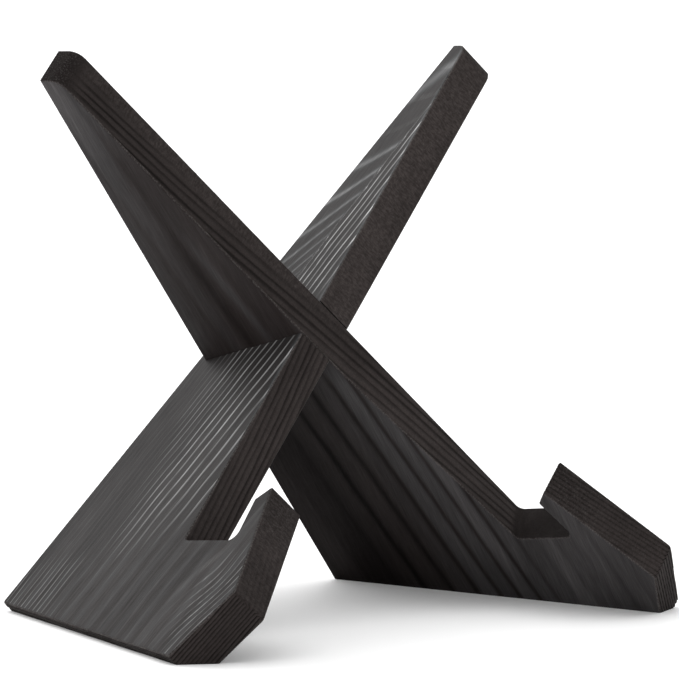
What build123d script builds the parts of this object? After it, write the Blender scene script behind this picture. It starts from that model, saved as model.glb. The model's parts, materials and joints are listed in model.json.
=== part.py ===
from build123d import *
import os
from math import cos, radians, sin, tan

# A two-board X stand that holds a record sleeve: two mirrored boards in a cross-lap joint.
# Row frame: X across, -Y the front, +Z up, with the floor at Z = 0.
# Board frame: p runs backwards along the line where the boards cross, q runs up the board.
# p = 0 is the front edge of the arm and q = 0 is the middle of the crossing.

# ---- driving dimensions (mm, degrees) ----
board_thickness = 15.0
board_tilt = 45.0  # each board from the horizontal, seen along the crossing line
lean_back = 15.5  # the front edges from the vertical

arm_height = 134.3  # front top corner above the crossing
arm_top_depth = 7.8  # front to back of the narrow top end
arm_top_rise = 2.5  # the top end slopes up to its back corner
arm_corner_radius = 6.0

ledge_drop = 102.7  # back of the ledge, below the crossing
ledge_depth = 30.4
ledge_slope = 6.5  # the front of the ledge is this much lower
ledge_back_radius = 2.5
ledge_front_radius = 3.0

hook_rise = 18.2  # inner wall, from the ledge to the tip
hook_wall_rake = 1.5  # the inner wall leans back by this much
hook_tip_depth = 6.4
hook_tip_rise = 4.1

toe_reach = 47.8  # foremost corner, ahead of the arm's front edge
toe_drop = 135.3
toe_corner_radius = 2.0
sole_front_reach = 30.0
sole_front_drop = 159.7
sole_length = 123.6
sole_land = 4.5  # part of the thickness that stays square above the bevelled sole
heel_corner_radius = 1.0

slot_side_clearance = 0.15
slot_end_clearance = 0.05
arris = 0.5  # chamfer on the edges around both broad faces

crossing_y = 1.18  # puts the middle of the stand's depth at Y = 0

# ---- derived dimensions ----
half_thickness = board_thickness / 2
tilt = radians(board_tilt)
lean = radians(lean_back)

arm_back_height = arm_height + arm_top_rise
heel_depth = sole_length - sole_front_reach
heel_drop = sole_front_drop - sole_length * tan(lean) / sin(tilt)

# The back edge is straight from the top end to the heel, so it sets the crossing's depth.
back_edge_slope = (heel_depth - arm_top_depth) / (arm_back_height + heel_drop)
crossing_depth = arm_top_depth + back_edge_slope * arm_back_height
slot_width = board_thickness + 2 * slot_side_clearance
slot_depth = crossing_depth / 2 + slot_end_clearance

# Height of the crossing that leaves the land square and bevels the rest of the sole flat.
land_offset = half_thickness - sole_land
crossing_z = (sole_front_drop - land_offset) * sin(tilt) * cos(lean)
crossing_z -= sole_front_reach * sin(lean)

crossing_origin = Vector(0, crossing_y, crossing_z)
crossing_line = Vector(0, cos(lean), -sin(lean))
frame_up = Vector(0, sin(lean), cos(lean))


def board_plane(side):
    """Middle plane of a board that rises to the right (side = 1) or to the left (-1)."""
    up_board = Vector(side, 0, 0) * cos(tilt) + frame_up * sin(tilt)
    normal = crossing_line.cross(up_board)
    return Plane(origin=crossing_origin, x_dir=crossing_line, z_dir=normal)


def nearest_vertex(vertices, corner):
    """The vertex of the outline that lies on a given (p, q) corner."""
    return vertices.sort_by_distance(Vector(*corner, 0)).first


def board_outline():
    """Broad face of a board: arm, ledge, hook, toe, sole and a straight back edge."""
    arm_back = (arm_top_depth, arm_back_height)
    arm_front = (0, arm_height)
    ledge_back = (0, -ledge_drop)
    ledge_front = (-ledge_depth, -ledge_drop - ledge_slope)
    hook_inner = (ledge_front[0] + hook_wall_rake, ledge_front[1] + hook_rise)
    hook_outer = (hook_inner[0] - hook_tip_depth, hook_inner[1] + hook_tip_rise)
    toe = (-toe_reach, -toe_drop)
    sole_front = (-sole_front_reach, -sole_front_drop)
    heel = (heel_depth, -heel_drop)
    with BuildSketch() as outline:
        with BuildLine():
            Polyline(
                arm_back, arm_front, ledge_back, ledge_front, hook_inner, hook_outer,
                toe, sole_front, heel, close=True,
            )
        make_face()
        fillet(nearest_vertex(outline.vertices(), arm_front), arm_corner_radius)
        fillet(nearest_vertex(outline.vertices(), ledge_back), ledge_back_radius)
        fillet(nearest_vertex(outline.vertices(), ledge_front), ledge_front_radius)
        fillet(nearest_vertex(outline.vertices(), toe), toe_corner_radius)
        fillet(nearest_vertex(outline.vertices(), heel), heel_corner_radius)
    return outline.sketch


def slotted_board(side, slot_middle):
    """One board, with its sole bevelled to the floor and its half of the cross-lap cut."""
    plane = board_plane(side)
    with BuildPart() as board:
        with BuildSketch(plane):
            add(board_outline())
        extrude(amount=half_thickness, both=True)
        broad_faces = board.faces().sort_by(SortBy.AREA)[-2:]
        chamfer(broad_faces.edges(), arris)
        split(bisect_by=Plane.XY, keep=Keep.TOP)
        with BuildSketch(plane):
            with Locations((slot_middle, 0)):
                Rectangle(2 * slot_depth, slot_width)
        extrude(amount=board_thickness, both=True, mode=Mode.SUBTRACT)
    return board


os.makedirs("parts", exist_ok=True)

# ---- left foot to right arm: the slot is open at the front edge ----
left_foot_board = slotted_board(side=1, slot_middle=0)
left_foot_board.part.label = "left_foot_board"
export_step(left_foot_board.part, "parts/left_foot_board.step")

# ---- right foot to left arm: the slot is open at the back edge ----
right_foot_board = slotted_board(side=-1, slot_middle=crossing_depth)
right_foot_board.part.label = "right_foot_board"
export_step(right_foot_board.part, "parts/right_foot_board.step")
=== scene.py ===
import json
from math import cos, radians, sin

import bmesh
import bpy
import numpy as np
from mathutils import Matrix, Vector


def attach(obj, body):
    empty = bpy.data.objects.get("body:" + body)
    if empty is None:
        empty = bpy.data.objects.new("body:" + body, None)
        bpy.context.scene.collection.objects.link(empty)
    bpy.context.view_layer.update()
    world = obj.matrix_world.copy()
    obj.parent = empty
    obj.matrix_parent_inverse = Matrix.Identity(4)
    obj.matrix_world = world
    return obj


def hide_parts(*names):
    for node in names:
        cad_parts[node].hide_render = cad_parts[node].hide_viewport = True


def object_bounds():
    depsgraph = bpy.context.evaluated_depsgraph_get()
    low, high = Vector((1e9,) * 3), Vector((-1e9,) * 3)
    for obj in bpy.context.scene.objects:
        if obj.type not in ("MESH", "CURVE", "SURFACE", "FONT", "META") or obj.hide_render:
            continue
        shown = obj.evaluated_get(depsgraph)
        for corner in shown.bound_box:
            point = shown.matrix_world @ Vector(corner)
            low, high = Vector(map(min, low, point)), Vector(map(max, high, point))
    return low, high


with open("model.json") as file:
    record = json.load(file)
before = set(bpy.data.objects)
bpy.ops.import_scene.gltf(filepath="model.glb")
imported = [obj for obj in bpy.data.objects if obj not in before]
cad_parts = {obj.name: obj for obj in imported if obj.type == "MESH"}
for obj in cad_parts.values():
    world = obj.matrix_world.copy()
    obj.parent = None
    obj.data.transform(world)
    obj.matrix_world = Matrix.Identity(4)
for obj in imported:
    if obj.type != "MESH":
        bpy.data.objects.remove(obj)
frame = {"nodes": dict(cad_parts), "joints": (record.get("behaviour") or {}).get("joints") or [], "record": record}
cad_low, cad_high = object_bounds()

# A two-board X stand of black-stained, wire-brushed softwood on a white studio table.
# Each packed board is sliced into a fine grid that follows its grain, and the soft early
# wood between its growth rings is sunk below the hard late wood, as brushing leaves it.
# Board coordinates are in millimetres: p to the back along the line where the boards cross,
# q up the board from the crossing, n from the middle plane to the upper broad face.

MM = 0.001
BOARD_TILT = radians(45)
BACKWARDS = -Vector(frame["joints"][0]["axis"]).normalized()
FRAME_UP = Vector((1, 0, 0)).cross(BACKWARDS)
MOUNTS = {mount["name"]: mount for mount in frame["record"]["mounts"]}


# ---------------------------------------------------------------- small maths helpers

def smoothstep(start, end, x):
    """0 before start, 1 after end, smooth between; start may be the larger one."""
    t = np.clip((x - start) / (end - start), 0, 1)
    return t * t * (3 - 2 * t)


def bell(x, width):
    """1 at zero, falling off smoothly to both sides."""
    return np.exp(-((x / width) ** 2))


def log_cosh(x):
    """A smooth bend: near to x squared over 2 at zero, and straight far from it."""
    return np.abs(x) + np.log1p(np.exp(-2 * np.abs(x))) - np.log(2)


# ---------------------------------------------------------------- places on a board

HALF_THICKNESS = 7.5
FACE_START = 7.2  # beyond this distance from the middle plane a point is on a broad face
ARM_END = 133  # q just below the end of the arm
LEDGE_BACK, LEDGE_FRONT = -103, -110  # q of the ledge's floor, which slopes down to the hook
LEDGE_SLOPE = 0.21  # its fall per mm forward
HOOK_BACK = -30  # p of the wall between the ledge and the hook
HOOK_TIP = -104  # only the tip of the hook lies above this q, ahead of the ledge
TOE_CORNER = -135.5  # q of the corner between the hook's front and the cut-off toe
SLOT_FRONT, SLOT_BACK = 1, 54  # p just inside the front and back edges at the crossing


def ahead_of_ledge(p):
    """1 on the narrow edges ahead of the ledge, 0 behind."""
    return smoothstep(HOOK_BACK + 1, HOOK_BACK - 1, p)


def on_toe(q):
    """1 on the narrow edges below the toe's corner, 0 above it."""
    return smoothstep(TOE_CORNER + 1, TOE_CORNER, q)


def on_hook(p, q):
    """1 on the narrow edges of the hook above the toe, 0 elsewhere."""
    return ahead_of_ledge(p) * (1 - on_toe(q))


def up_hook(q):
    """0 low on the hook, 1 at its tip."""
    return smoothstep(-118, -98, q)


def on_ledge(p, q):
    """1 in the corner and along the floor of the ledge, 0 elsewhere on the narrow edges."""
    along = smoothstep(HOOK_BACK - 3, HOOK_BACK, p) * smoothstep(6, 1, p)
    below = smoothstep(LEDGE_BACK + 4, LEDGE_BACK, q)
    return along * below * smoothstep(LEDGE_FRONT - 4, LEDGE_FRONT, q)


# ---------------------------------------------------------------- growth rings

RIDGE_MIDDLE = 0.85  # where the thin late wood ridge lies within one ring
LINE_WIDTH = 0.15  # of a soft line, as a share of one ring


def along_and_across(p, q, slant):
    """Distances across the grain (u) and down it (g), for a grain slanted off the q axis."""
    u = p * cos(slant) + q * sin(slant)
    g = p * sin(slant) - q * cos(slant)
    return u, g


def wander(u, g):
    """Slow and quick sideways wandering of the grain, in mm."""
    slow = 1.4 * np.sin(g / 58 + 1.1) + 0.5 * np.sin(g / 23 + u / 31 + 0.4)
    quick = 0.22 * np.sin(g / 8.3 + u / 12) + 0.12 * np.sin(g / 4.1 + u / 5 + 2.0)
    return slow + quick


def edge_spacing(q, plain, toe):
    """Ring spacing down the narrow edges, in mm; it is tighter below the toe's corner."""
    return toe + (plain - toe) * smoothstep(TOE_CORNER - 0.3, TOE_CORNER + 0.3, q)


def ledge_tone(p, q):
    """Stain pooled along the floor of the ledge."""
    return 1 - 0.6 * on_ledge(p, q)


def front_crease(p, q):
    """The finish worn bright along the front edge of an outer face."""
    uneven = 0.6 + 0.4 * np.sin(q / 9 + 1.0) * np.sin(q / 23)
    return 1.6 * bell(p - 0.7, 0.7) * uneven * smoothstep(-70, -30, q)


def banded_tone(ring, contrast):
    """Soft dark lines between rings, with each ring a little lighter or darker."""
    line = bell(ring - np.round(ring), LINE_WIDTH)
    each = 1 + 0.16 * np.sin(2.4 * np.floor(ring) + 1.0)
    return (each + (1 - each) * line) * (1 - contrast * line)


class LeftFootGrain:
    """Board from the left foot to the right arm: fine bright lines below the crossing, a wide
    flame on the back half of the arm, and arcs at the toe."""

    slant = radians(17.5)
    edge_ring, toe_ring = 2.3, 1.3  # ring spacing on the narrow edges, mm
    flame_fold = 31.6  # distance across the grain of the fold line where the flame starts
    flame_top = 87  # q where the flame's first ring leaves the fold line
    flame_pitch = 12  # mm between the flame's rings
    flame_first = 12  # number of the flame's first ring

    def face_rings(self, p, q):
        u, g = along_and_across(p, q, self.slant)
        toe_swing = 11 * smoothstep(-158, -122, q) * smoothstep(-8, -36, p)
        u = u + wander(u, g) + toe_swing
        lines = 0.23 * u + 2.5 * log_cosh((u - 12) / 25) + 0.17 * np.minimum(u + 52, 0)
        return lines + self.flame_mask(p, q) * (self.flame(p, q) - lines)

    def flame_mask(self, p, q):
        u, g = along_and_across(p, q, self.slant)
        past_fold = smoothstep(self.flame_fold - 0.6, self.flame_fold + 0.6, u + wander(u, g))
        return past_fold * smoothstep(4, 18, q)

    def flame(self, p, q):
        """Wide rings that leave the fold line at a growing slope."""
        k = (self.flame_top - q) / self.flame_pitch
        for _ in range(3):
            slope = -0.33 - 0.15 * k
            past_fold = p - 4.1 - 5.4 * k
            k = (self.flame_top - q + slope * past_fold) / self.flame_pitch
        return k + self.flame_first + RIDGE_MIDDLE + 0.03 * np.sin(p / 3 + q / 7)

    def flame_started(self, rings):
        return smoothstep(self.flame_first + 0.2, self.flame_first + 0.5, rings)

    def edge_rings(self, p, q, n):
        depth = HALF_THICKNESS - n + 0.07 * q + 0.5 * np.sin(q / 21 + 0.6)
        spacing = edge_spacing(q, self.edge_ring, self.toe_ring)
        return depth / spacing + 0.05 * np.sin(q / 5.5 + n)

    def face_strength(self, p, q, upper):
        u, g = along_and_across(p, q, self.slant)
        below = smoothstep(-100, -74, q + 0.3 * p) * smoothstep(6, -4, q) * smoothstep(51, 24, p)
        below = below * (1 + 0.3 * smoothstep(-75, -30, q))
        flame = self.flame_mask(p, q)
        arm = smoothstep(8, 20, q) * smoothstep(112, 88, q) * (1 + 0.5 * (1 - flame))
        arm = arm * (1 + flame * (0.15 * self.flame_started(self.flame(p, q)) - 1))
        toe = 0.5 * smoothstep(-20, -30, p) * smoothstep(-112, -124, q)
        heel = 0.55 * smoothstep(-92, -104, q) * smoothstep(52, 68, p)
        uneven = 0.72 + 0.28 * np.sin(g / 19 + 1.7 * u) * np.sin(g / 7 + 2.3 * u)
        strength = np.clip(below + arm + toe + heel, 0, 1.4) * uneven
        return np.where(upper, 0.05 + 0.95 * strength, 0.02)

    def edge_strength(self, p, q, n):
        strip = 0.08 + 0.72 * smoothstep(14, -8, q) + 0.2 * on_toe(q)
        return strip * (1 - on_hook(p, q) * (0.6 + 0.35 * up_hook(q)))

    def face_tone(self, p, q, upper):
        u, g = along_and_across(p, q, self.slant)
        soft = 0.16 * np.sin(0.62 * u + 0.5 * np.sin(g / 40)) * smoothstep(-84, -112, q)
        tip = 2.0 * bell(0.76 * (q - 118) + 0.65 * (p - 10), 2.6)
        rings = self.flame(p, q)
        off_ridge = rings - RIDGE_MIDDLE - np.round(rings - RIDGE_MIDDLE)
        flame = bell(off_ridge, LINE_WIDTH) * self.flame_mask(p, q) * self.flame_started(rings)
        flame = flame * (1.2 - 0.15 * (rings - self.flame_first))
        return np.where(upper, 1 - soft + tip + flame, banded_tone(0.11 * u + g / 400, 0.35))

    def edge_tone(self, p, q):
        return ledge_tone(p, q)


class RightFootGrain:
    """Board from the right foot to the left arm: broad soft bands on the faces and long
    grooves down the front edge."""

    slant = radians(20)
    under_slant = radians(12)
    edge_ring, toe_ring = 3.1, 1.65  # ring spacing on the narrow edges, mm

    def face_rings(self, p, q):
        u, g = along_and_across(p, q, self.slant)
        u = u + wander(u + 40, g + 70)
        return 0.24 * u + 1.8 * log_cosh((u - 8) / 26)

    def edge_rings(self, p, q, n):
        depth = HALF_THICKNESS - n - 0.085 * q + 0.7 * np.sin(q / 27 + 2.0)
        plain = self.edge_ring - 0.5 * smoothstep(40, 110, q) - 1.3 * ahead_of_ledge(p)
        spacing = edge_spacing(q, plain, self.toe_ring)
        return depth / spacing + 0.05 * np.sin(q / 6.5 + n)

    def face_strength(self, p, q, upper):
        u, g = along_and_across(p, q, self.slant)
        patchy = 0.5 + 0.5 * np.sin(u / 12 + 0.6 + 0.7 * np.sin(g / 37))
        front = smoothstep(50, 22, p) * smoothstep(-108, -76, q)
        uneven = 0.7 + 0.3 * np.sin(g / 17 + 1.3 * u) * np.sin(g / 6 + 2.1 * u)
        return np.where(upper, (0.06 + (0.2 + 0.7 * front) * patchy) * uneven, 0.02)

    def edge_strength(self, p, q, n):
        smooth_half = smoothstep(0.5, 4.0, n) * smoothstep(-25, 30, q)
        strip = (0.8 + 0.2 * smoothstep(60, 112, q)) * (1 - 0.85 * smooth_half)
        strength = strip - 0.25 * on_hook(p, q) + 0.5 * on_toe(q)
        return strength * smoothstep(ARM_END, ARM_END - 11, q)

    def face_tone(self, p, q, upper):
        u, g = along_and_across(p, q, self.slant)
        steep, down = along_and_across(p, q, self.under_slant)
        steep = steep + 0.35 * wander(steep + 40, down + 70)
        rings = 0.106 * steep - 0.19 * log_cosh((steep - 3) / 10) + 0.4
        below = smoothstep(-6, -20, q)
        marked = smoothstep(-34, -20, steep) * smoothstep(42, 30, steep)
        bands = banded_tone(rings, 0.18 + 0.5 * below * marked)
        # Painted light: the under face is made lighter at its front below the crossing, where it would reflect the
        # white table, and towards the end of the arm.
        light = smoothstep(17, -6, steep) * below + 0.8 * smoothstep(88, 126, q)
        # Painted shadow: the back of the under face below the crossing, which the other board shades, is made
        # darker.
        painted_shadow = smoothstep(12, 40, steep) * smoothstep(4, -20, q)
        # Painted reflection: a lighter band along the front crease of the under face below the crossing.
        crease_reflection = 0.5 * bell(p + 4 + 0.16 * (q + 40), 9)
        crease_reflection = crease_reflection * smoothstep(-12, -40, q) * smoothstep(-125, -100, q)
        under = bands * (0.95 + 0.8 * light + crease_reflection + self.arm_marks(p, q) - 0.6 * painted_shadow)
        return np.where(upper, 1 - 0.14 * np.sin(0.6 * u + 0.6 * np.sin(g / 33)), under)

    def arm_marks(self, p, q):
        """Soft marks under the arm: a light streak, a dark one beside it, a pale back edge."""
        lean = 0.1 * (40 - q)
        length = smoothstep(0, 12, q) * smoothstep(75, 40, q)
        light = 0.5 * bell(p - 13 - lean, 2.2) * length
        dark = 0.35 * bell(p - 20 - 2 * lean, 4.5) * length
        back = 0.45 * bell(p - 47 + 0.352 * (q - 20), 7) * smoothstep(0, 20, q)
        return light - dark + back

    def edge_tone(self, p, q):
        arm = 0.16 * smoothstep(-25, 30, q) + 0.3 * smoothstep(ARM_END - 8, ARM_END, q)
        return ledge_tone(p, q) * (1 - arm)


# ---------------------------------------------------------------- board geometry

WELD_DISTANCE = 1e-6  # metres
FLAT = radians(0.3)  # faces that meet at less than this angle become one again
SHARP = radians(25)  # edges sharper than this are rounded a little
GRID_ACROSS = 0.44  # mm between grid lines across the grain
GRID_ALONG = 2.0  # mm between grid lines along the grain
GRID_DEPTH = 0.44  # mm between grid lines through the thickness
ON_PLANE = 1e-5  # mm within which a corner lies on a cutting plane
UNCUT_MARGIN = 0.02  # share of a step by which a face has to pass a plane to be cut by it
BROAD = 0.9  # from this cosine to the n axis on, a face lies on a broad side
FACE_RELIEF = 0.15  # mm from the bottom of the brushed early wood to the top of the late wood
EDGE_RELIEF = 0.26  # mm on the narrow edges
HOOK_RELIEF = 0.78  # mm at the hook's tip, before the strength of its grain lowers it
FACE_LEVEL, EDGE_LEVEL = 0.4, 0.6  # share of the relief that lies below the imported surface
HOOK_END_GRAIN = 0.8  # how far the hook's tip looks like sawn end grain
EDGE_SOFTENING = 0.2  # mm
TIP_ROUNDING = 0.5  # mm
FACING_DOWN = 0.9  # from this cosine to straight down on, a surface belongs to the sole
TWIST_START, TWIST_FULL, TWIST_END = -16, -104, -132  # q down the twisted front edge
TWIST_DEPTH, TWIST_REACH = 24, 30  # mm behind and ahead of the arm's front edge that it spans


class BoardAxes:
    """Where a board's own p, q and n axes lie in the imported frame."""

    def __init__(self, side, arm_mount):
        self.p_axis = BACKWARDS
        self.q_axis = Vector((side, 0, 0)) * cos(BOARD_TILT) + FRAME_UP * sin(BOARD_TILT)
        self.n_axis = Vector((-side, 0, 0)) * sin(BOARD_TILT) + FRAME_UP * cos(BOARD_TILT)
        on_arm = Vector(MOUNTS[arm_mount]["pos_m"])
        self.origin = on_arm - self.q_axis * (on_arm.x / self.q_axis.x)

    def to_board(self):
        """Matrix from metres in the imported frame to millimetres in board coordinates."""
        turn = Matrix((self.p_axis, self.q_axis, self.n_axis)).to_4x4()
        return Matrix.Scale(1 / MM, 4) @ turn @ Matrix.Translation(-self.origin)

    def down_in_board(self):
        """Straight down, in board coordinates."""
        return Vector((-self.p_axis.z, -self.q_axis.z, -self.n_axis.z))


def transform(bm, matrix):
    """Moves a mesh by a matrix and keeps its faces outwards, also where the matrix mirrors it."""
    bm.transform(matrix)
    if matrix.determinant() < 0:
        bmesh.ops.reverse_faces(bm, faces=bm.faces)


def any_face(face):
    return True


def narrow_face(face):
    return abs(face.normal.z) < BROAD


def slice_by(bm, direction, step, wanted=any_face):
    """Cuts the wanted faces with parallel planes a step apart, sweeping along direction."""
    direction = Vector(direction).normalized()

    def reach(face):
        places = [vert.co.dot(direction) for vert in face.verts]
        return min(places), max(places)

    waiting = {face: reach(face) for face in bm.faces if wanted(face)}
    low = min(span[0] for span in waiting.values())
    high = max(span[1] for span in waiting.values())
    count = int((high - low) / step)
    margin = step * UNCUT_MARGIN
    for i in range(1, count + 1):
        place = low + (high - low) * i / (count + 1)
        crossed = [
            face for face, (start, end) in waiting.items()
            if start < place - margin and end > place + margin
        ]
        if crossed:
            edges = dict.fromkeys(edge for face in crossed for edge in face.edges)
            verts = dict.fromkeys(vert for face in crossed for vert in face.verts)
            cut = bmesh.ops.bisect_plane(
                bm, geom=[*crossed, *edges, *verts], dist=ON_PLANE,
                plane_co=direction * place, plane_no=direction,
            )
            for face in crossed:
                waiting.pop(face, None)
            for item in cut["geom"]:
                if isinstance(item, bmesh.types.BMFace):
                    waiting[item] = reach(item)
        waiting = {face: span for face, span in waiting.items() if span[1] > place + margin}


def round_edges(bm, edges, width, segments):
    bmesh.ops.bevel(
        bm, geom=edges, offset=width, segments=segments, profile=0.5, affect="EDGES",
        clamp_overlap=True, offset_type="OFFSET",
    )


def round_hook_tip(bm):
    """Rounds the short top edge of the hook, which runs through the thickness."""
    tip = [
        edge for edge in bm.edges
        if abs(edge.verts[0].co.z - edge.verts[1].co.z) > HALF_THICKNESS
        and all(vert.co.x < HOOK_BACK and vert.co.y > HOOK_TIP for vert in edge.verts)
    ]
    round_edges(bm, tip, TIP_ROUNDING, 3)


def soften_edges(bm):
    """Rounds every sharp edge a little."""
    bm.normal_update()
    sharp = [edge for edge in bm.edges if edge.calc_face_angle(0) > SHARP]
    round_edges(bm, sharp, EDGE_SOFTENING, 2)


def gridded_board(packed_mesh, axes, slant):
    """A packed board in board coordinates, with soft edges and a fine grid along its grain."""
    bm = bmesh.new()
    bm.from_mesh(packed_mesh)
    bmesh.ops.remove_doubles(bm, verts=bm.verts, dist=WELD_DISTANCE)
    bmesh.ops.dissolve_limit(bm, angle_limit=FLAT, verts=bm.verts, edges=bm.edges)
    transform(bm, axes.to_board())
    round_hook_tip(bm)
    soften_edges(bm)
    slice_by(bm, (cos(slant), sin(slant), 0), GRID_ACROSS)
    slice_by(bm, (sin(slant), -cos(slant), 0), GRID_ALONG)
    bm.normal_update()
    slice_by(bm, (0, 0, 1), GRID_DEPTH, narrow_face)
    bm.normal_update()
    return bm


def vertex_array(bm, attribute):
    return np.array([getattr(vert, attribute) for vert in bm.verts])


def thin_ridges(part):
    """Narrow late wood on the broad faces; part is the place within one ring, 0 to 1."""
    return smoothstep(0.66, 0.86, part) * smoothstep(1.0, 0.93, part)


def broad_ridges(part):
    """Broad ridges between narrow grooves, on the narrow edges."""
    return smoothstep(0.06, 0.42, part) * smoothstep(1.0, 0.88, part)


def twist_front_edge(place, reach):
    """Runs the front edge forward on the under face, most at the ledge, as if sawn askew."""
    p, q, n = place.T
    down = np.clip((TWIST_START - q) / (TWIST_START - TWIST_FULL), 0, 1)
    down = down * smoothstep(TWIST_END, TWIST_FULL - 2, q)
    inward = np.clip(1 - np.maximum(p / TWIST_DEPTH, -p / TWIST_REACH), 0, 1)
    forward = reach * down * inward * (0.5 - n / (2 * HALF_THICKNESS))
    along_ledge = LEDGE_SLOPE * smoothstep(-92, LEDGE_BACK, q)
    return place - np.stack([forward, forward * along_ledge, 0 * forward], 1)


def brush(bm, axes, grain, twist):
    """Twists a gridded board's front edge and presses the relief of its growth rings into it.
    Returns what the stain needs to know about each vertex, by name."""
    place = twist_front_edge(vertex_array(bm, "co"), twist)
    normal = vertex_array(bm, "normal")
    p, q, n = place.T
    on_face = np.abs(n) > FACE_START
    broadness = np.abs(normal[:, 2])
    flat = np.where(on_face, smoothstep(0.93, 0.995, broadness), smoothstep(0.3, 0.08, broadness))
    ring = np.where(on_face, grain.face_rings(p, q), grain.edge_rings(p, q, n))
    face_strength = grain.face_strength(p, q, n > 0)
    edge_strength = grain.edge_strength(p, q, n) * (1 - on_ledge(p, q))
    strength = flat * np.where(on_face, face_strength, edge_strength)
    face_tone = grain.face_tone(p, q, n > 0) + front_crease(p, q) * (n > 0)
    tone = np.where(on_face, face_tone, grain.edge_tone(p, q))
    hook_tip = smoothstep(HOOK_BACK - 1, HOOK_BACK - 6, p) * up_hook(q)
    cut_across = (normal @ np.array((sin(grain.slant), -cos(grain.slant), 0))) ** 2
    end_grain = np.maximum(cut_across, HOOK_END_GRAIN * hook_tip) * ~on_face * (1 - on_ledge(p, q))

    part = ring - np.floor(ring)
    ridge = np.where(on_face, thin_ridges(part) - FACE_LEVEL, broad_ridges(part) - EDGE_LEVEL)
    edge_relief = EDGE_RELIEF + (HOOK_RELIEF - EDGE_RELIEF) * hook_tip
    raised = np.where(on_face, FACE_RELIEF, edge_relief) * strength * ridge
    at_crossing = (np.abs(q) < HALF_THICKNESS + 1) & (p > SLOT_FRONT) & (p < SLOT_BACK)
    in_slot = at_crossing & ~on_face & (broadness < 0.3)
    on_sole = normal @ np.array(axes.down_in_board()) > FACING_DOWN
    raised = np.where(in_slot, 0, np.where(on_sole, np.minimum(raised, 0), raised))
    for vert, spot in zip(bm.verts, place + normal * raised[:, None]):
        vert.co = spot

    u, g = along_and_across(p, q, grain.slant)
    return {
        "ring": ring,
        "strength": strength,
        "tone": tone,
        "edge": 1.0 - on_face,
        "grain": np.stack([u + wander(u, g), g, n], 1),
        "arris": 4 * broadness ** 2 * (1 - broadness ** 2),
        "end_grain": end_grain,
    }


def add_attribute(mesh, name, values):
    kind, key = ("FLOAT_VECTOR", "vector") if values.ndim == 2 else ("FLOAT", "value")
    attribute = mesh.attributes.new(name, kind, "POINT")
    attribute.data.foreach_set(key, values.astype(np.float32).ravel())


def brushed_board(node_name, body, axes, grain, material, twist=0.0):
    """A finely gridded copy of a packed board, with its brushed relief."""
    node = frame["nodes"][node_name]
    bm = gridded_board(node.data, axes, grain.slant)
    values = brush(bm, axes, grain, twist)
    transform(bm, axes.to_board().inverted())
    mesh = bpy.data.meshes.new(node_name + "_brushed")
    bm.to_mesh(mesh)
    bm.free()
    for name, per_vertex in values.items():
        add_attribute(mesh, name, per_vertex)
    mesh.polygons.foreach_set("use_smooth", [True] * len(mesh.polygons))
    mesh.materials.append(material)

    piece = bpy.data.objects.new(node_name + "_wood", mesh)
    bpy.context.scene.collection.objects.link(piece)
    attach(piece, body)
    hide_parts(node_name)


# ---------------------------------------------------------------- shader helpers

WHITE = (1, 1, 1, 1)


class Nodes:
    """Short helpers to wire a node tree."""

    def __init__(self, material):
        material.use_nodes = True
        self.tree = material.node_tree
        self.tree.nodes.clear()

    def add(self, kind, **settings):
        node = self.tree.nodes.new(kind)
        for name, value in settings.items():
            setattr(node, name, value)
        return node

    def link(self, source, target):
        self.tree.links.new(source, target)

    def put(self, value, socket):
        """Sets a socket to a constant, or links it to another node's output."""
        if isinstance(value, bpy.types.NodeSocket):
            self.link(value, socket)
        else:
            socket.default_value = value

    def principled(self):
        output = self.add("ShaderNodeOutputMaterial")
        shader = self.add("ShaderNodeBsdfPrincipled")
        self.link(shader.outputs[0], output.inputs["Surface"])
        return shader

    def maths(self, operation, *operands):
        node = self.add("ShaderNodeMath", operation=operation)
        for operand, socket in zip(operands, node.inputs):
            self.put(operand, socket)
        return node.outputs[0]

    def product(self, first, *others):
        for other in others:
            first = self.maths("MULTIPLY", first, other)
        return first

    def step(self, value, start, end, low=0.0, high=1.0):
        """Goes smoothly from low to high while value goes from start to end."""
        node = self.add("ShaderNodeMapRange", interpolation_type="SMOOTHSTEP")
        for socket, item in zip(node.inputs, (value, start, end, low, high)):
            self.put(item, socket)
        return node.outputs[0]

    def attribute(self, name, output="Fac"):
        return self.add("ShaderNodeAttribute", attribute_name=name).outputs[output]

    def mix(self, factor, a, b, blend="MIX"):
        node = self.add("ShaderNodeMix", data_type="RGBA", blend_type=blend)
        self.put(factor, node.inputs[0])
        self.put(a, node.inputs[6])
        self.put(b, node.inputs[7])
        return node.outputs[2]

    def noise(self, vector, scale, detail=2.0, roughness=0.5):
        """Noise over board coordinates; scale is a 3-vector in cycles per mm."""
        stretch = self.add("ShaderNodeVectorMath", operation="MULTIPLY")
        self.put(vector, stretch.inputs[0])
        self.put(scale, stretch.inputs[1])
        node = self.add("ShaderNodeTexNoise")
        self.link(stretch.outputs[0], node.inputs["Vector"])
        self.put(1.0, node.inputs["Scale"])
        self.put(detail, node.inputs["Detail"])
        self.put(roughness, node.inputs["Roughness"])
        return node.outputs["Fac"]


# ---------------------------------------------------------------- stained wood

DARK_TONE_TINT = (1.12, 0.92, 0.86)  # the colour is browner where the tone is dark: where the stain lies thick, and in the painted shade of the under face
WORN_COLOUR = (0.10, 0.094, 0.091)
SHEEN = 0.084  # specular level of the plain stain; it follows the shade factor: the light and dark of the grain, and the painted light and shade in the tone
GROOVE_DARKENING = 0.7
END_GRAIN_DARKENING = 0.4


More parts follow.
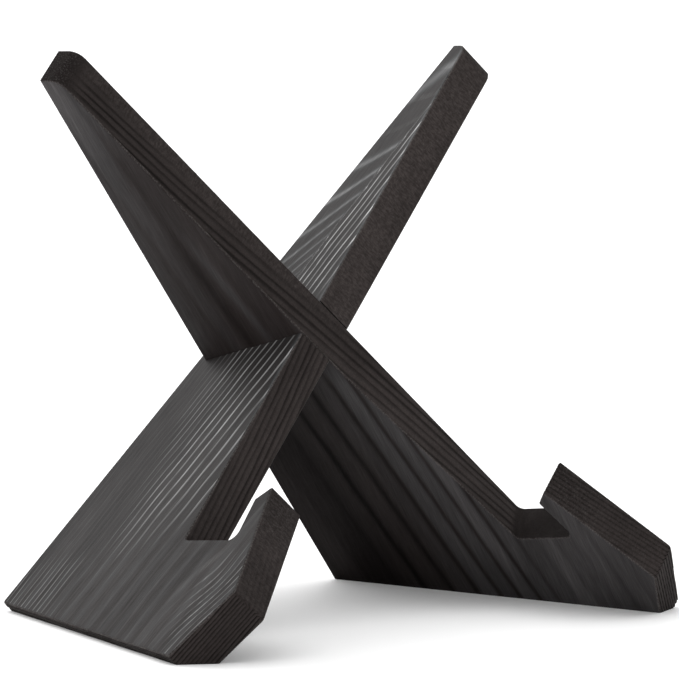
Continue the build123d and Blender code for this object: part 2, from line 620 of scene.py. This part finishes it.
class WoodNodes(Nodes):
    """What the stain is mixed from: the values on a board's mesh, and noises over it."""

    def __init__(self, material):
        super().__init__(material)
        self.ring = self.attribute("ring")
        self.strength = self.attribute("strength")
        self.tone = self.attribute("tone")
        self.edge = self.attribute("edge")
        self.arris = self.attribute("arris")
        self.end_grain = self.attribute("end_grain")
        grain = self.attribute("grain", "Vector")
        self.fibres = self.noise(grain, (4.0, 0.10, 4.0), 3.0, 0.6)
        self.streaks = self.noise(grain, (0.45, 0.012, 0.45))
        self.breaks = self.noise(grain, (0.8, 0.06, 0.8))
        self.clouds = self.noise(grain, (0.05, 0.012, 0.05), 1.0)
        self.speckle = self.noise(grain, (2.6, 1.3, 2.6), 2.0, 0.7)
        self.ticks = self.noise(grain, (0.5, 1.6, 0.5), 2.0, 0.6)

    def ring_marks(self):
        """Bright late wood lines on the faces, rub-worn and lightened by a painted sheen, and grooves between
        ridges on the edges.
        """
        part = self.maths("FRACT", self.ring)
        each = self.add("ShaderNodeTexWhiteNoise", noise_dimensions="1D")
        self.link(self.maths("FLOOR", self.ring), each.inputs["W"])
        each_ring = self.step(each.outputs["Value"], 0.0, 1.0, 0.6, 1.0)

        thin = self.product(self.step(part, 0.70, 0.86), self.step(part, 0.94, 1.0, 1.0, 0.0))
        unbroken = self.step(self.breaks, 0.3, 0.62, 0.35, 1.0)
        on_face = self.maths("SUBTRACT", 1.0, self.edge)
        line = self.product(thin, unbroken, each_ring, self.strength, on_face)

        broad = self.product(self.step(part, 0.10, 0.55), self.step(part, 0.86, 0.98, 1.0, 0.0))
        hollow = self.maths("SUBTRACT", 1.0, broad)
        groove = self.product(hollow, each_ring, self.strength, self.edge)
        return line, groove

    def plain_edge(self):
        """1 on the narrow edges where they have no grooves and no pooled stain."""
        weak = self.maths("SUBTRACT", 1.0, self.strength)
        plain = self.product(self.edge, weak, self.step(self.tone, 0.6, 0.9))
        return self.maths("MAXIMUM", plain, 0.0)

    def shade(self, groove, plain_edge):
        """How light or dark the stain is, as a factor."""
        bands = self.step(self.streaks, 0.35, 0.65, 0.94, 1.05)
        patch = self.step(self.clouds, 0.3, 0.7, 0.85, 1.12)
        fleck = self.step(self.fibres, 0.3, 0.75, 0.86, 1.18)
        soaked = self.maths("MULTIPLY_ADD", self.end_grain, -END_GRAIN_DARKENING, 1.0)
        grooved = self.maths("MULTIPLY_ADD", groove, -GROOVE_DARKENING, 1.0)
        brushed_across = self.mix(plain_edge, WHITE, self.step(self.ticks, 0.35, 0.68, 0.8, 1.4))
        return self.product(bands, patch, fleck, self.tone, soaked, grooved, brushed_across)

    def worn_marks(self, plain_edge):
        """Where lighter wood shows: on rubbed arrises, in end grain and in fine specks."""
        worn = self.product(self.arris, self.step(self.speckle, 0.42, 0.66), 0.5)
        pores = self.product(self.end_grain, self.step(self.speckle, 0.52, 0.72), 0.5)
        specks = self.product(plain_edge, self.step(self.speckle, 0.60, 0.74), 0.4)
        return self.maths("MAXIMUM", self.maths("MAXIMUM", worn, pores), specks)

    def roughness(self, line):
        """Late wood is a little glossier, and the narrow edges are a little duller."""
        plain = self.step(self.fibres, 0.25, 0.75, 0.66, 0.54)
        lined = self.maths("MULTIPLY_ADD", line, -0.15, plain)
        return self.maths("MULTIPLY_ADD", self.edge, 0.12, lined)

    def bump(self, line):
        """Fibres too fine for the grid."""
        height = self.maths("MULTIPLY_ADD", self.fibres, 0.6, self.product(line, 0.5))
        rough_end = self.product(self.speckle, self.end_grain)
        height = self.maths("MULTIPLY_ADD", rough_end, 1.6, height)
        bump = self.add("ShaderNodeBump")
        self.put(0.55, bump.inputs["Strength"])
        self.put(0.12 * MM, bump.inputs["Distance"])
        self.link(height, bump.inputs["Height"])
        return bump.outputs[0]


def stained_wood(name, early, late_wood_and_sheen, edge_colour):
    """Black-stained brushed softwood; its colours are linear."""
    material = bpy.data.materials.new(name)
    nodes = WoodNodes(material)
    shader = nodes.principled()
    line, groove = nodes.ring_marks()
    plain_edge = nodes.plain_edge()
    shade = nodes.shade(groove, plain_edge)

    # Where the tone is dark, in pooled stain and in painted shade, the colour turns browner.
    dark_tone_colour = [tint * share for tint, share in zip(DARK_TONE_TINT, early)]
    colour = nodes.mix(nodes.step(nodes.tone, 0.55, 1.5), (*dark_tone_colour, 1), (*early, 1))
    # Ridge lines: worn late wood, made a light grey as a painted sheen where the ridges would catch the light.
    colour = nodes.mix(line, colour, (*late_wood_and_sheen, 1))
    colour = nodes.mix(nodes.edge, colour, (*edge_colour, 1))
    colour = nodes.mix(1.0, colour, shade, "MULTIPLY")
    colour = nodes.mix(nodes.worn_marks(plain_edge), colour, (*WORN_COLOUR, 1))
    nodes.link(colour, shader.inputs["Base Color"])
    nodes.link(nodes.product(shade, SHEEN), shader.inputs["Specular IOR Level"])
    nodes.link(nodes.roughness(line), shader.inputs["Roughness"])
    nodes.link(nodes.bump(line), shader.inputs["Normal"])
    return material


# ---------------------------------------------------------------- studio

TABLE_REACH = 30  # metres from the middle to each side
TABLE_WHITE = (0.9, 0.9, 0.9, 1)
TABLE_GLOW = 0.08  # keeps the shadows on the table faint
LIGHT_FROM = Vector((-0.1, 0.35, 0.9)).normalized()  # where the world is brightest
LIGHT_SPREAD = (-0.1, 0.95)  # cosines to LIGHT_FROM where the world is dimmest and brightest
LIGHT_LEVELS = (0.27, 1.75)  # its strength there
CAMERA_AZIMUTH = radians(-42.33)
CAMERA_ELEVATION = radians(5.14)
CAMERA_ROLL = radians(1.06)
CAMERA_DISTANCE = 1.856  # metres
CAMERA_LENS = 285.9  # mm, on a sensor 36 mm wide
CAMERA_AIM = (0.0042, -0.0012)  # metres right of and above the stand's middle


def table_paint():
    material = bpy.data.materials.new("white_table")
    nodes = Nodes(material)
    shader = nodes.principled()
    nodes.put(TABLE_WHITE, shader.inputs["Base Color"])
    nodes.put(0.6, shader.inputs["Roughness"])
    nodes.put(WHITE, shader.inputs["Emission Color"])
    nodes.put(TABLE_GLOW, shader.inputs["Emission Strength"])
    return material


def build_table():
    mesh = bpy.data.meshes.new("table")
    corners = [
        (TABLE_REACH * x, TABLE_REACH * y, 0) for x, y in ((-1, -1), (1, -1), (1, 1), (-1, 1))
    ]
    mesh.from_pydata(corners, [], [(0, 1, 2, 3)])
    mesh.materials.append(table_paint())
    table = bpy.data.objects.new("table", mesh)
    bpy.context.scene.collection.objects.link(table)


def add_sun(name, towards, strength, angle):
    """A broad, soft sun: a studio wall of light in the given direction."""
    light = bpy.data.lights.new(name, "SUN")
    light.energy = strength
    light.angle = radians(angle)
    lamp = bpy.data.objects.new(name, light)
    lamp.rotation_mode = "QUATERNION"
    lamp.rotation_quaternion = Vector(towards).to_track_quat("Z", "Y")
    bpy.context.scene.collection.objects.link(lamp)


def build_world():
    """White to the camera; as light, brighter from above and behind than from the front."""
    world = bpy.data.worlds.new("studio")
    bpy.context.scene.world = world
    nodes = Nodes(world)
    output = nodes.add("ShaderNodeOutputWorld")
    seen = nodes.add("ShaderNodeBackground")
    nodes.put(WHITE, seen.inputs["Color"])
    lit = nodes.add("ShaderNodeBackground")
    nodes.put(WHITE, lit.inputs["Color"])
    place = nodes.add("ShaderNodeTexCoord")
    towards = nodes.add("ShaderNodeVectorMath", operation="DOT_PRODUCT")
    nodes.link(place.outputs["Generated"], towards.inputs[0])
    nodes.put(LIGHT_FROM, towards.inputs[1])
    brightness = nodes.step(towards.outputs["Value"], *LIGHT_SPREAD, *LIGHT_LEVELS)
    nodes.link(brightness, lit.inputs["Strength"])
    path = nodes.add("ShaderNodeLightPath")
    choose = nodes.add("ShaderNodeMixShader")
    nodes.link(path.outputs["Is Camera Ray"], choose.inputs[0])
    nodes.link(lit.outputs[0], choose.inputs[1])
    nodes.link(seen.outputs[0], choose.inputs[2])
    nodes.link(choose.outputs[0], output.inputs["Surface"])


def build_camera():
    camera = bpy.data.cameras.new("camera")
    camera.lens = CAMERA_LENS
    camera.sensor_width = 36
    camera.clip_start, camera.clip_end = 0.1, 100
    holder = bpy.data.objects.new("camera", camera)
    level_reach = cos(CAMERA_ELEVATION)
    back = Vector((
        sin(CAMERA_AZIMUTH) * level_reach,
        -cos(CAMERA_AZIMUTH) * level_reach,
        sin(CAMERA_ELEVATION),
    ))
    level = (-back).to_track_quat("-Z", "Y").to_matrix()
    turned = level @ Matrix.Rotation(CAMERA_ROLL, 3, "Z")
    aim = (cad_low + cad_high) / 2
    aim = aim + turned.col[0] * CAMERA_AIM[0] + turned.col[1] * CAMERA_AIM[1]
    holder.matrix_world = Matrix.Translation(aim + back * CAMERA_DISTANCE) @ turned.to_4x4()
    bpy.context.scene.collection.objects.link(holder)
    bpy.context.scene.camera = holder


# ---------------------------------------------------------------- the scene

build_camera()
build_world()
build_table()
add_sun("back_wall", towards=(0.05, 0.85, 0.52), strength=0.7, angle=60)
add_sun("left_window", towards=(-0.85, -0.3, 0.4), strength=0.4, angle=60)
bpy.context.scene.view_settings.view_transform = "Standard"

# The ridge line colours below are worn late wood, lightened further by a painted sheen.
left_wood = stained_wood(
    "left_board_stain",
    early=(0.0188, 0.0188, 0.0194), late_wood_and_sheen=(0.30, 0.297, 0.295), edge_colour=(0.034, 0.0278, 0.0264),
)
right_wood = stained_wood(
    "right_board_stain",
    early=(0.0190, 0.0172, 0.0176), late_wood_and_sheen=(0.24, 0.235, 0.23), edge_colour=(0.033, 0.0270, 0.0256),
)
brushed_board(
    "left_foot_board", "left_board", BoardAxes(1, "right_arm_front"),
    LeftFootGrain(), left_wood,
)
brushed_board(
    "right_foot_board", "right_board", BoardAxes(-1, "left_arm_front"),
    RightFootGrain(), right_wood, twist=6.5,
)
